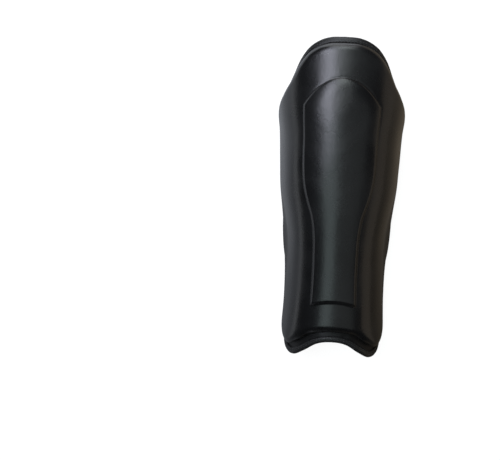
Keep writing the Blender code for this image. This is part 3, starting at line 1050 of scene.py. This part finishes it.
@dataclass
class BackingPanel:
    """The thin panel behind the pad: leather outside, which shows as the rim and lip and is darkened as
    painted shade under the pad's edge, and lining inside.
    """

    form: GuardForm
    pad: FrontPad
    foot: float
    wall: float = 0.003
    gap: float = 0.0004
    crease: float = 0.0009
    # the wrap at each fold across the lip, its slant over the lip, its width and its height
    folds: tuple = ((-0.10, 0.05, 0.05, 0.54), (0.13, -0.07, 0.03, -0.60), (0.34, 0.06, 0.04, 0.36))
    # the crumple's height, its waves for a wing, and its waves over the lip
    crumple: tuple = (0.3, 5, 0.4)
    crumple_seed: int = 5
    # the grid's stretches inside the seam, each by its start, stop and steps, then its steps on the rim
    # beside the leg, at the knee and on the lip
    across_steps: tuple = ((0.0, 0.9, 50), (0.9, 1.0, 10))
    down_steps: tuple = ((0.0, 0.06, 8), (0.06, 0.92, 90), (0.92, 1.0, 12))
    rim_steps: tuple = (10, 8, 18)

    def grid(self) -> tuple[Array, Array]:
        """Grid stations, closest together on the rim and the lip.

        Returns:
            The stations across and down.
        """
        low, high = -self.form.rim_step, 1 + self.form.rim_step
        beside, above, below = self.rim_steps
        half = stations(*self.across_steps, (1.0, high, beside))
        down = stations((low, 0.0, above), *self.down_steps, (1.0, high, below))
        return np.concatenate([-half[:0:-1], half]), down[::-1]

    def heights(self, wrap: Array, along: Array, down: Array, distance: Array) -> Array:
        """The outer face's height: under the pad, with soft creases across the lip below it.

        A crease is a narrow bell across a slanted line on the lip, deepest midway between pad and edge.

        Args:
            wrap: The share round the shin, below 0 on the other side.
            along: The share down the guard. Not used.
            down: The grid's coordinate down.
            distance: How far it lies from the pad's seam.

        Returns:
            The heights in metres.
        """
        level = -self.pad.swelling(wrap, distance) - self.gap
        on_lip = np.clip((down - 1) / self.form.rim_step, 0, 1)
        bell = np.sin(math.pi * on_lip) ** 2
        size, round_leg, over_lip = self.crumple
        creases = size * ripple(wrap * round_leg, on_lip * over_lip, self.crumple_seed)
        for middle, slant, width, height in self.folds:
            creases += height * np.exp(-(((wrap - middle - slant * (on_lip - 0.5)) / width) ** 2))
        return level + self.crease * bell * creases

    def points(self, across: Array, down: Array) -> tuple[Array, Array, Array]:
        """The outer face's points and normals, and the pattern coordinates, of grid coordinates.

        Args:
            across: The grid's coordinate across, as place takes it.
            down: And down.

        Returns:
            The points, the normals and the pattern coordinates.
        """
        wrap, along = self.form.place(across, down)
        inside = (np.abs(across) <= 1) & (down >= 0) & (down <= 1)
        distance = np.where(inside, self.form.seam_distance(wrap, along), 0)
        base, normal = self.form.surface(wrap, along), self.form.normal(wrap, along)
        base[..., 2] += self.foot
        height = self.heights(wrap, along, down, distance)
        return base + normal * height[..., None], normal, self.form.flat(wrap, along)

    def build(self) -> Piece:
        """Builds the closed panel, with leather outside and cloth inside.

        Returns:
            The piece.
        """
        outer, normal, uv = self.points(*np.meshgrid(*self.grid()))
        inner = outer - normal * self.wall
        maker = MeshMaker("backing_panel_leather")
        front = maker.grid(outer, uv)
        back = maker.grid(inner[:, ::-1], uv[:, ::-1], 1)
        close_between(maker, front, back[:, ::-1], 1)
        piece = maker.build([Finish.LIP_LEATHER.made(), Finish.LINING.made()])
        return dress(piece, "backing_panel")


def once_round(form: GuardForm, step: float, count: int) -> tuple[Array, Array]:
    """Evenly spaced grid coordinates of the backing panel's edge, once round the guard.

    Args:
        form: The guard's shape.
        step: The spacing in metres.
        count: The number of places along each side from which they are taken.

    Returns:
        across and down at each station. The last one isn't the first one again.
    """
    reach = 1 + form.rim_step
    fine = np.linspace(-reach, reach, count)
    low, high = np.full_like(fine, reach), np.full_like(fine, -form.rim_step)
    tall = np.linspace(reach, -form.rim_step, count)
    side = np.full_like(tall, reach)
    across = np.concatenate([fine, side, fine[::-1], -side])
    down = np.concatenate([low, tall, high, tall[::-1]])
    points = form.surface(*form.place(across, down))
    run = distances(points)
    places = int(run[-1] / step)
    at = np.arange(places) * run[-1] / places
    return np.interp(at, run, across), np.interp(at, run, down)


def round_about(values: Array) -> Array:
    """Central differences along a closed row."""
    return np.roll(values, -1, axis=0) - np.roll(values, 1, axis=0)


@dataclass
class EdgeBinding:
    """The tape folded over the backing panel's edge, and its two rows of stitches."""

    form: GuardForm
    panel: BackingPanel
    width: float = 0.0050
    wall: float = 0.0009
    gap: float = 0.0004
    roll: float = 0.0008
    step: float = 0.0022
    stitch: float = 0.0026
    stitch_gap: float = 0.0009
    stitch_radius: float = 0.00036
    stitch_rows: tuple = (0.0014, 0.0036)
    stitch_step: float = 0.0006
    edge_stations: int = 1200
    inward_most: float = 0.93
    leaf_swelling: float = 1.12
    fold_turn: tuple = (0.15, 0.85, 7)
    wobble: float = 0.00018
    wobble_length: float = 0.025
    wobble_seed: int = 3

    def frame_at(self, across: Array, down: Array) -> tuple[Array, Array, Array]:
        """The edge's points, its normals, and the directions that lead away from the guard.

        Args:
            across: The grid's coordinate across, as place takes it.
            down: And down.

        Returns:
            The points, the normals and the directions.
        """
        edge, normal, _ = self.panel.points(across, down)
        beyond = unit(np.cross(round_about(edge), normal))
        return edge, normal, beyond

    def hem(self, across: Array, down: Array, inset: float) -> tuple[Array, Array]:
        """Points on the panel's outer face at a distance in from its edge, and the normals there.

        Args:
            across: The grid's coordinate across, as place takes it.
            down: And down.
            inset: The distance in from the edge.

        Returns:
            The points and the normals.
        """
        edge, normal, beyond = self.frame_at(across, down)
        seam, seam_normal, _ = self.panel.points(np.clip(across, -1, 1), np.clip(down, 0, 1))
        inward = seam - edge
        reach = np.minimum((inward * beyond).sum(axis=-1, keepdims=True), -self.form.normal_step)
        share = np.clip(-inset / reach, 0, self.inward_most)
        return edge + inward * share, unit(normal + (seam_normal - normal) * share)

    def section(self) -> Array:
        """The tape's cross-sections, once round: a rounded fold with two leaves on the panel's faces.

        Returns:
            (stations, points, 3) points, outside first and then back along the inside.
        """
        across, down = once_round(self.form, self.step, self.edge_stations)
        edge, normal, beyond = self.frame_at(across, down)
        hem, hem_normal = self.hem(across, down, self.width)
        middle, middle_normal = self.hem(across, down, self.width * 0.5)
        under = self.panel.wall
        run = np.arange(len(across)) * self.step / self.wobble_length
        wobble = self.wobble * ripple(run, np.zeros_like(run), self.wobble_seed)[:, None]
        first, last, turns = self.fold_turn
        bulge = self.leaf_swelling

        def ring(lift: float, out: float) -> list[Array]:
            """The fold's section at a lift off the faces and a reach beyond the edge.

            Args:
                lift: Its height over the panel's faces.
                out: Its reach beyond the edge.

            Returns:
                The section's points, one array a place.
            """
            turn = [
                edge
                + normal * (lift * math.cos(a) - under * (1 - math.cos(a)) / 2)
                + beyond * (out * math.sin(a))
                for a in np.linspace(first * math.pi, last * math.pi, turns)
            ]
            upper = [hem + hem_normal * (lift + wobble), middle + middle_normal * (lift * bulge + wobble)]
            lower = [middle - middle_normal * (under + lift), hem - hem_normal * (under + lift)]
            return [*upper, *turn, *lower]

        outside = ring(self.gap + self.wall, self.gap + self.roll + self.wall)
        inside = ring(self.gap, self.gap + self.roll)
        return np.stack([*outside, *inside[::-1]], axis=1)

    def build(self) -> Piece:
        """Builds the tape.

        Returns:
            The piece.
        """
        section = self.section()
        closed = np.concatenate([section, section[:, :1]], axis=1)
        loop = np.concatenate([closed, closed[:1]], axis=0)
        uv = np.stack(np.meshgrid(distances(closed[0]), distances(loop[:, 0])), axis=-1)
        maker = MeshMaker("edge_binding_tape")
        count, around = section.shape[:2]
        numbers = maker.add(section.reshape(-1, 3), uv[:-1, :-1].reshape(-1, 2)).reshape(count, around)
        numbers = np.concatenate([numbers, numbers[:, :1]], axis=1)
        numbers = np.concatenate([numbers, numbers[:1]], axis=0)
        maker.quads(numbers, 0)
        return dress(maker.build([Finish.TAPE.made()]), "edge_binding")

    def stitches(self) -> Piece:
        """Builds both rows of stitches on the outer leaf: short bent capsules end to end with small gaps.

        Returns:
            The piece.
        """
        pitch = self.stitch + self.stitch_gap
        fine_across, fine_down = once_round(self.form, self.stitch_step, self.edge_stations)
        maker = MeshMaker("binding_stitches")
        for row in self.stitch_rows:
            line, normal = self.hem(fine_across, fine_down, row)
            line = line + normal * (self.gap + self.wall)
            run = distances(line)
            count = int(run[-1] / pitch)
            starts = np.arange(count) * run[-1] / count
            capsules(maker, run, line, normal, starts, self.stitch, self.stitch_radius)
        return dress(maker.build([Finish.THREAD.made()]))


# a stitch's stations: the share of its length, and its radius and lift there in shares of the full radius
STITCH_STATIONS = (
    (0.0, 0.35, -0.4),
    (0.12, 0.85, 0.1),
    (0.35, 1.0, 0.45),
    (0.65, 1.0, 0.45),
    (0.88, 0.85, 0.1),
    (1.0, 0.35, -0.4),
)
STITCH_SIDES = 6


def capsules(
    maker: MeshMaker, run: Array, line: Array, normal: Array, starts: Array, length: float, radius: float
) -> None:
    """Adds stitches along a line: each a six-sided tube that rises from the tape and dips at both ends.

    Args:
        maker: Gathers the faces.
        run: The distance along the line at each of its points.
        line: The line's points.
        normal: The normals at its points.
        starts: Where each stitch starts, as a distance along the line.
        length: A stitch's length.
        radius: Its radius.
    """
    share, swell, lift = np.array(STITCH_STATIONS).T
    at = starts[:, None] + share * length
    centre = np.stack([np.interp(at, run, line[:, i]) for i in range(3)], axis=-1)
    up = unit(np.stack([np.interp(at, run, normal[:, i]) for i in range(3)], axis=-1))
    ahead = unit(np.gradient(centre, axis=1))
    side = unit(np.cross(ahead, up))
    centre = centre + up * (lift * radius)[None, :, None]
    turns = np.arange(STITCH_SIDES) * math.tau / STITCH_SIDES
    outward = side[:, :, None] * np.cos(turns)[:, None] + up[:, :, None] * np.sin(turns)[:, None]
    ring = centre[:, :, None] + radius * swell[None, :, None, None] * outward
    numbers = maker.add(ring.reshape(-1, 3), np.zeros((ring.size // 3, 2))).reshape(ring.shape[:3])
    wrapped = np.concatenate([numbers, numbers[:, :, :1]], axis=2)
    corners = (wrapped[:, :-1, :-1], wrapped[:, :-1, 1:], wrapped[:, 1:, 1:], wrapped[:, 1:, :-1])
    caps = [numbers[:, 0, [0, 3, 2, 1]], numbers[:, 0, [0, 5, 4, 3]]]
    caps += [numbers[:, -1, [0, 1, 2, 3]], numbers[:, -1, [0, 3, 4, 5]]]
    maker.loose_quads(np.concatenate([np.stack(corners, axis=-1).reshape(-1, 4), *caps]), 0)


class Side(Enum):
    """The wing that a strap's end is sewn to."""

    LEFT = -1
    RIGHT = 1


@dataclass
class Strap:
    """An elastic strap or the tab that it closes on, flat on the surface with its end up the wing."""

    form: GuardForm
    panel: BackingPanel
    node: str
    side: Side
    along: float
    width: float
    level: float
    finish: Finish
    wall: float = 0.0020
    overlap: float = 0.036
    seat_top: float = 0.78
    seat_low: float = 0.88
    bend: float = 0.016
    ramp: float = 0.008
    gap: float = 0.0006
    edge_roll: float = 0.0005
    edge_share: float = 0.02
    ribs: int = 9
    rib_depth: float = 0.00018
    turn: float = 0.25
    columns: int = 41
    # rows on the wing, round the bend, on the way to the overlap, and on it
    rows: tuple = (14, 18, 14, 40)

    def lower_face(self) -> Array:
        """The face away from the leg: down the wing, round a bend, and flat to its end, row by row.

        Returns:
            (rows, columns, 3) points.
        """
        form, foot = self.form, self.panel.foot
        on_wing, on_bend, on_way, on_overlap = self.rows
        along = self.along + np.linspace(-0.5, 0.5, self.columns) * self.width / form.length
        rows = []
        for wrap in np.linspace(self.seat_top, self.seat_low, on_wing):
            place = np.full_like(along, wrap)
            drop = self.panel.pad.swelling(place, form.seam_distance(place, along)) + self.panel.gap
            level = -drop - self.panel.wall - self.gap
            point = form.surface(place, along) + form.normal(place, along) * level[:, None]
            rows.append(point + [0, 0, foot])
        start = rows[-1]
        flat = start - [self.bend, 0, 0]
        flat[:, 2] = 0
        turn = start + (flat - start) * [self.turn, 1, 1]
        for q in np.linspace(0, 1, on_bend)[1:]:
            rows.append(start * (1 - q) ** 2 + turn * 2 * q * (1 - q) + flat * q**2)
        half = self.overlap / 2
        first = float(flat[:, 0].mean())
        way = np.linspace(first, half + self.ramp, on_way)[1:]
        x = np.concatenate([way, np.linspace(half + self.ramp, -half, on_overlap)[1:]])[:, None]
        height = self.level * ease((half + self.ramp - x) / self.ramp)
        level_rows = np.stack(np.broadcast_arrays(x, flat[:, 1], height), axis=-1)
        return np.concatenate([np.stack(rows), level_rows])

    def build(self) -> Piece:
        """Builds the closed band, with rolled selvedges and fine ribs on its upper face.

        Returns:
            The piece.
        """
        lower = self.lower_face()
        lower[:, 0] = (lower[:, 0] + lower[:, 1]) / 2
        lower[:, -1] = (lower[:, -1] + lower[:, -2]) / 2
        down_band, across_band = np.gradient(lower, axis=0), np.gradient(lower, axis=1)
        normal = unit(np.cross(down_band, across_band))
        share = np.linspace(0, 1, lower.shape[1])
        rolled = self.edge_roll * np.exp(-np.minimum(share, 1 - share) / self.edge_share)
        ribs = self.rib_depth * (1 - np.cos(share * math.tau * self.ribs)) / 2
        upper = lower + normal * (self.wall - rolled - ribs)[None, :, None]
        lower = lower + normal * rolled[None, :, None]
        run = distances(lower[:, self.columns // 2])
        uv = np.stack(np.meshgrid(share * self.width, run), axis=-1)
        if self.side is Side.LEFT:
            lower, upper, uv = (grid[:, ::-1] for grid in (lower * [-1, 1, 1], upper * [-1, 1, 1], uv))
        maker = MeshMaker(self.node + "_band")
        front = maker.grid(lower, uv)
        back = maker.grid(upper[:, ::-1], uv[:, ::-1])
        close_between(maker, front, back[:, ::-1], 0)
        return dress(maker.build([self.finish.made()]), self.node)


@dataclass(frozen=True)
class Lamp:
    """A soft rectangular lamp that fills the box between two corners, which are level the way that it faces.

    Its radiance is its power by its area and pi.
    """

    name: str
    low: Triple
    high: Triple
    radiance: float
    colour: Colour
    facing: Triple = (0.0, 0.0, -1.0)

    def build(self) -> None:
        """Builds the lamp."""
        back = -Vector(self.facing)
        upright = Vector((0, 0, 1)) if back.y else Vector((0, 1, 0))
        up = (upright - back * back.dot(upright)).normalized()
        across = up.cross(back)
        low, high = Vector(self.low), Vector(self.high)
        data = bpy.data.lights.new(self.name, "AREA")
        data.shape = "RECTANGLE"
        data.size, data.size_y = abs((high - low).dot(across)), abs((high - low).dot(up))
        data.energy = self.radiance * math.pi * data.size * data.size_y
        data.color = self.colour
        made = bpy.data.objects.new(self.name, data)
        turned = Matrix((across, up, back)).transposed().to_4x4()
        made.matrix_world = Matrix.Translation((low + high) / 2) @ turned
        bpy.context.scene.collection.objects.link(made)


LAMPS = (
    Lamp("key", (-0.56, 0.0, 1.2), (-0.22, 0.30, 1.2), 11.5, (0.92, 0.94, 1.09)),
    Lamp("key_far", (-0.60, 0.30, 1.2), (-0.22, 1.5, 1.2), 4.0, (0.92, 0.94, 1.09)),
    Lamp("key_shoulder", (-0.20, 0.10, 1.2), (0.04, 0.35, 1.2), 2.2, (0.90, 1.0, 1.0)),
    Lamp("shoulder_far", (-0.20, 0.35, 1.2), (0.22, 1.5, 1.2), 4.5, (0.90, 1.0, 1.0)),
    Lamp("ankle_strip", (-0.48, -0.9, 1.2), (-0.04, 0.0, 1.2), 1.6, (0.82, 1.0, 1.0)),
    Lamp("ankle_fill", (0.0, -1.2, 1.2), (0.9, 0.1, 1.2), 0.30, (0.92, 1.0, 0.98)),
    Lamp("warm_wall", (1.6, -1.6, 0.0), (1.6, 0.5, 1.0), 0.5, (1.0, 0.84, 0.66), (-1.0, 0.0, 0.0)),
    Lamp("cool_wall", (-1.8, -1.8, 0.0), (-1.8, 0.9, 0.36), 1.25, (0.93, 0.96, 1.0), (1.0, 0.0, 0.0)),
    Lamp("window", (-0.9, 1.9, 0.55), (0.60, 1.9, 1.55), 2.6, (0.95, 0.97, 1.0), (0.0, -1.0, 0.0)),
    Lamp("far_wall", (-1.2, 1.9, 0.0), (0.12, 1.9, 0.55), 2.2, (0.95, 0.97, 1.0), (0.0, -1.0, 0.0)),
)


@dataclass
class Floor:
    """A pale floor. Mirrored in the leather it is the dim room round the guard: cool left, warm right."""

    size: float = 6.0
    gap: float = 0.0002
    colour: Colour = (0.24, 0.24, 0.24)
    roughness: float = 0.9
    shown_glow: float = 0.92
    # the mirrored colours from left to right, and where each stands in the stretch from -across to across
    glows: tuple = ((0.58, 0.61, 0.67), (0.04, 0.04, 0.04), (0.04, 0.04, 0.04), (0.26, 0.215, 0.16))
    stops: tuple = (0.30, 0.44, 0.56, 0.70)
    across: float = 0.3
    # the mirrored strength at the ankle and the knee, over the stretch from -along to along, and at the least
    glow_ankle: float = 0.36
    glow_knee: float = 1.80
    glow_least: float = 0.65
    along: float = 0.2
    # the brighter floor beyond the knee: where it starts, and how it fades by X over Y to the right and left
    glow_beyond_knee: Colour = (1.3, 1.35, 1.45)
    knee_start: tuple = (0.25, 0.40)
    fade_right: tuple = (1.0, 0.06, 0.06, 0.30)
    fade_left: tuple = (0.20, 1.0, -0.62, -0.36)
    least_y: float = 0.05

    def mirrored(self, nodes: Nodes) -> Socket:
        """What the leather mirrors of the floor, by the place on it.

        Args:
            nodes: Builds the floor's nodes.

        Returns:
            The shader.
        """
        split = nodes.node("SeparateXYZ", {0: nodes.coordinates.outputs["Object"]})
        x, y = split.outputs["X"], split.outputs["Y"]
        sideways = nodes.spread(x, 0.0, 1.0, -self.across, self.across)
        glow = nodes.ramp(sideways, tuple(zip(self.stops, self.glows, strict=True)))
        slant = nodes.maths("DIVIDE", x, nodes.maths("MAXIMUM", y, self.least_y))
        beyond_knee = nodes.spread(y, 0.0, 1.0, *self.knee_start)
        for fade in (self.fade_right, self.fade_left):
            beyond_knee = nodes.maths("MULTIPLY", beyond_knee, nodes.spread(slant, *fade))
        glow = nodes.blend(beyond_knee, glow, self.glow_beyond_knee)
        strength = nodes.spread(y, self.glow_ankle, self.glow_knee, -self.along, self.along)
        strength = nodes.maths("MAXIMUM", strength, self.glow_least)
        return nodes.node("Emission", {"Color": glow, "Strength": strength}).outputs[0]

    def material(self) -> Material:
        """Builds the material, which the camera sees as a pale matt floor.

        Returns:
            The material.
        """
        nodes = Nodes("floor")
        nodes.feed(nodes.shader.inputs["Base Color"], self.colour)
        nodes.feed(nodes.shader.inputs["Roughness"], self.roughness)
        nodes.feed(nodes.shader.inputs["Specular IOR Level"], 0.0)
        pale = nodes.node("Emission", {"Strength": self.shown_glow})
        shown = nodes.node("AddShader", {0: nodes.shader.outputs[0], 1: pale.outputs[0]})
        seen = nodes.node("LightPath", {}).outputs["Is Camera Ray"]
        mix = nodes.node("MixShader", {0: seen, 1: self.mirrored(nodes), 2: shown.outputs[0]})
        nodes.feed(nodes.tree.nodes["Material Output"].inputs["Surface"], mix.outputs[0])
        return nodes.material

    def build(self) -> None:
        """Builds the floor."""
        half, low = self.size / 2, -self.gap
        corners = [(-half, -half, low), (half, -half, low), (half, half, low), (-half, half, low)]
        mesh = bpy.data.meshes.new("floor")
        mesh.from_pydata(corners, [], [(0, 1, 2, 3)])
        mesh.materials.append(self.material())
        made = bpy.data.objects.new("floor", mesh)
        bpy.context.scene.collection.objects.link(made)


@dataclass
class PhotoCamera:
    """The camera at the photograph's angle and distance, with angles in degrees and a pixel in metres."""

    aim: Triple = (0.0, 0.0, 0.055)
    pitch: float = 8.0
    roll: float = 2.6
    distance: float = 2.0
    pixel: float = 1.132e-3
    place_px: tuple = (337.8, 197.3)
    image_px: tuple = (500, 460)
    sensor_width: float = 36.0
    clip: tuple = (0.1, 20.0)

    def build(self) -> None:
        """Sets the camera so that the aimed point falls on place_px, and the guard leans by the roll."""
        pitch, roll = math.radians(self.pitch), math.radians(self.roll)
        aim = Vector(self.aim)
        back = Vector((0.0, math.sin(pitch), math.cos(pitch)))
        level = (-back).cross(Vector((0, 1, 0))).normalized()
        upright = level.cross(-back)
        right = level * math.cos(roll) + upright * math.sin(roll)
        up = -level * math.sin(roll) + upright * math.cos(roll)
        eye = aim + back * self.distance
        shift_x = (self.image_px[0] / 2 - self.place_px[0]) * self.pixel
        shift_y = (self.place_px[1] - self.image_px[1] / 2) * self.pixel
        middle = aim + right * shift_x + up * shift_y
        forward = (middle - eye).normalized()
        side = forward.cross(up).normalized()
        data = bpy.data.cameras.new("photo_camera")
        data.sensor_width = self.sensor_width
        data.lens = self.sensor_width * (middle - eye).length / (self.image_px[0] * self.pixel)
        data.clip_start, data.clip_end = self.clip
        made = bpy.data.objects.new("photo_camera", data)
        turned = Matrix((side, side.cross(forward), -forward)).transposed().to_4x4()
        made.matrix_world = Matrix.Translation(eye) @ turned
        bpy.context.scene.collection.objects.link(made)
        bpy.context.scene.camera = made


@dataclass
class Studio:
    """The floor, the lamps, a dim even light from all round, and the camera."""

    world_colour: Colour = (0.5, 0.52, 0.56)
    world_strength: float = 0.015
    view_transform: str = "Standard"

    def build(self) -> None:
        """Builds them all."""
        Floor().build()
        for lamp in LAMPS:
            lamp.build()
        world = bpy.data.worlds.new("studio")
        world.use_nodes = True
        shader = world.node_tree.nodes["Background"]
        shader.inputs["Color"].default_value = (*self.world_colour, 1)
        shader.inputs["Strength"].default_value = self.world_strength
        bpy.context.scene.world = world
        PhotoCamera().build()
        bpy.context.scene.view_settings.view_transform = self.view_transform


# node, the wing that it is sewn to, place along, width, how high it climbs on the overlap, finish
STRAPS = (
    ("calf_strap", Side.LEFT, 0.440, 0.050, 0.0023, Finish.ELASTIC),
    ("calf_strap_tab", Side.RIGHT, 0.440, 0.050, 0.0, Finish.LOOP_PILE),
    ("ankle_strap", Side.LEFT, 0.720, 0.040, 0.0023, Finish.ELASTIC),
    ("ankle_strap_tab", Side.RIGHT, 0.720, 0.040, 0.0, Finish.LOOP_PILE),
)


def resting_height(form: GuardForm) -> float:
    """How high the side edges lie when the binding under them touches the same surface as the frame's."""
    binding = EdgeBinding(form, BackingPanel(form, FrontPad(form, 0.0), 0.0))
    return float(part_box("edge_binding")[0].z - binding.section()[..., 2].min())


def main() -> None:
    """Loads the frame, builds each sub-assembly in order, and sets the studio."""
    logging.basicConfig(level=logging.INFO, format="%(name)s: %(message)s")
    for old in list(bpy.data.objects):
        bpy.data.objects.remove(old, do_unlink=True)
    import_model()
    form = GuardForm()
    foot = resting_height(form)
    log.info("side edges at %.4f m", foot)
    pad = FrontPad(form, foot)
    panel = BackingPanel(form, pad, foot)
    binding = EdgeBinding(form, panel)
    pad.build()
    panel.build()
    binding.build()
    binding.stitches()
    for row in STRAPS:
        Strap(form, panel, *row).build()
    Studio().build()


if __name__ == "__main__":
    main()
